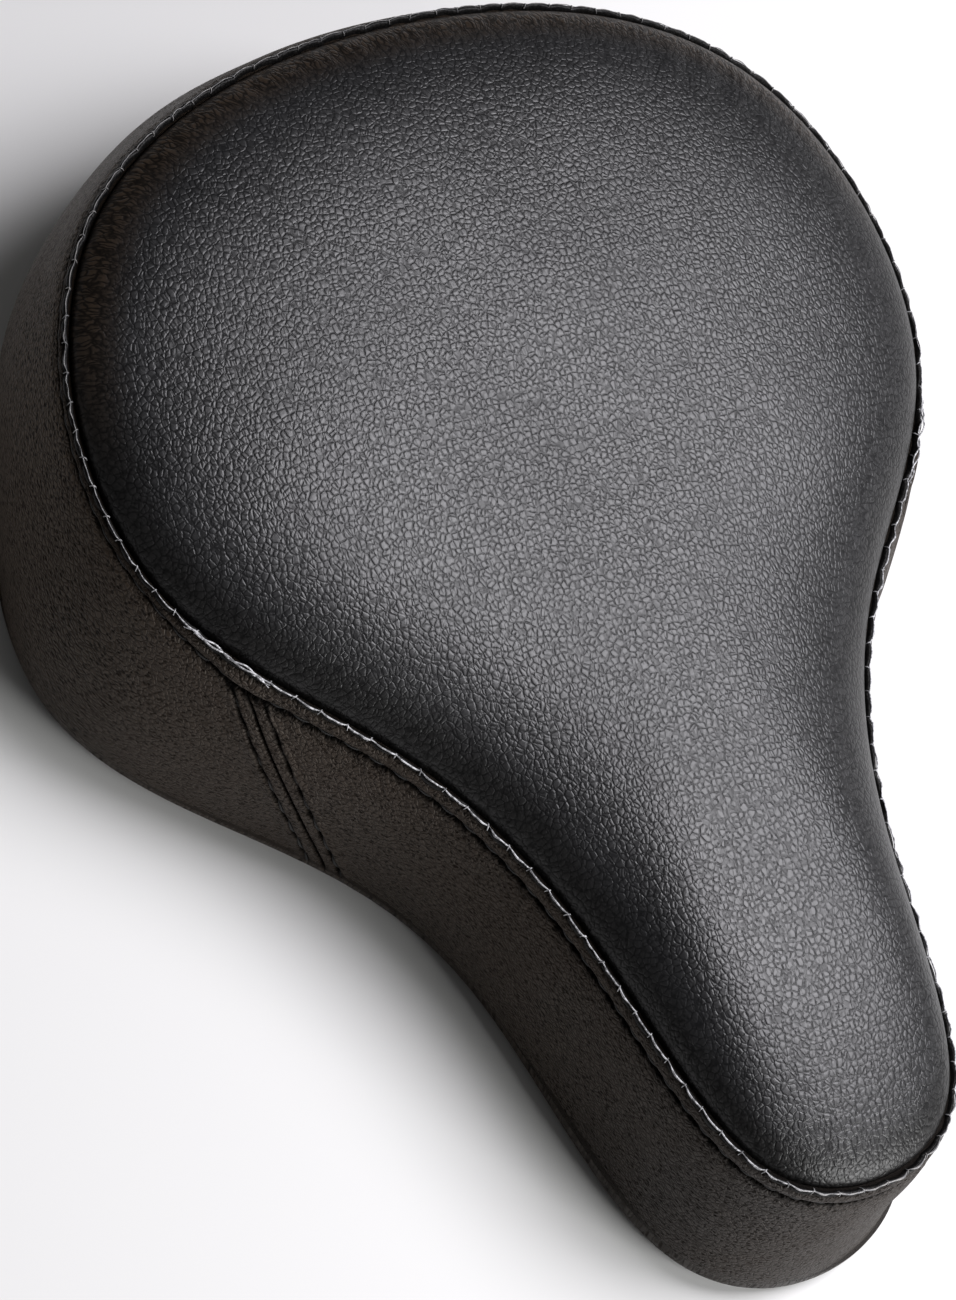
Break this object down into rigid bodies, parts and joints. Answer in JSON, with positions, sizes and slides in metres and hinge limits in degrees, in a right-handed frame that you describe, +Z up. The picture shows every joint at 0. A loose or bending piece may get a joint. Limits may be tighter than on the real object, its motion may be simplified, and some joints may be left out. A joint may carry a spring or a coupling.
{
  "type": "motorcycle solo seat",
  "caption": "Padded solo motorcycle saddle: crowned grained leather top, stitched edge, wrapped side bands, rounded rear lobe narrowing to a blunt nose, steel pan with a folding nose tab.",
  "frame": {"origin": "under the middle of the bounding box, on the plane the leather hem rests on", "axes": "+Z up through the crown, nose towards -Y, rear lobe towards +Y, rider's left at +X"},
  "size_m": [0.2774, 0.3488, 0.0914],
  "materials": {
    "leather_top": "satin",
    "leather_side": "satin",
    "foam_soft": "matte",
    "foam_firm": "matte",
    "webbing": "matte",
    "steel_black": "satin",
    "rubber": "matte",
    "zinc_steel": "satin",
    "rivet_aluminium": "satin",
    "nylon": "satin"
  },
  "bodies": {
    "seat": {"top_cover_panel": "leather_top", "edge_welt": "leather_top", "nose_side_band": "leather_side", "rear_side_band": "leather_side", "foam_topper": "foam_soft", "foam_core": "foam_firm", "side_seam_tape_left": "webbing", "side_seam_tape_right": "webbing", "seat_pan": "steel_black", "rear_mount_plate": "steel_black", "pan_edge_trim": "rubber", "rubber_buffer_1": "rubber", "rubber_buffer_2": "rubber", "rubber_buffer_3": "rubber", "rubber_buffer_4": "rubber", "hem_rivet_01": "rivet_aluminium", "hem_rivet_02": "rivet_aluminium", "hem_rivet_03": "rivet_aluminium", "hem_rivet_04": "rivet_aluminium", "hem_rivet_05": "rivet_aluminium", "hem_rivet_06": "rivet_aluminium", "hem_rivet_07": "rivet_aluminium", "hem_rivet_08": "rivet_aluminium", "hem_rivet_09": "rivet_aluminium", "hem_rivet_10": "rivet_aluminium", "hem_rivet_11": "rivet_aluminium", "hem_rivet_12": "rivet_aluminium", "hem_rivet_13": "rivet_aluminium", "hem_rivet_14": "rivet_aluminium", "nose_hinge_bracket": "zinc_steel", "hinge_bolt": "zinc_steel", "hinge_nut": "zinc_steel", "nose_left_stud": "zinc_steel", "nose_left_washer": "zinc_steel", "nose_left_nut": "zinc_steel", "nose_right_stud": "zinc_steel", "nose_right_washer": "zinc_steel", "nose_right_nut": "zinc_steel", "rear_left_stud": "zinc_steel", "rear_left_washer": "zinc_steel", "rear_left_nut": "zinc_steel", "rear_right_stud": "zinc_steel", "rear_right_washer": "zinc_steel", "rear_right_nut": "zinc_steel"},
    "tab": {"frame_tab": "zinc_steel", "hinge_bush_left": "nylon", "hinge_bush_right": "nylon"}
  },
  "joints": [
    {"name": "nose_tab_swing", "type": "hinge", "parent": "seat", "child": "tab", "pos_m": [0, -0.096, 0.012], "axis": [1, 0, 0], "range_deg": [0, 100]}
  ]
}
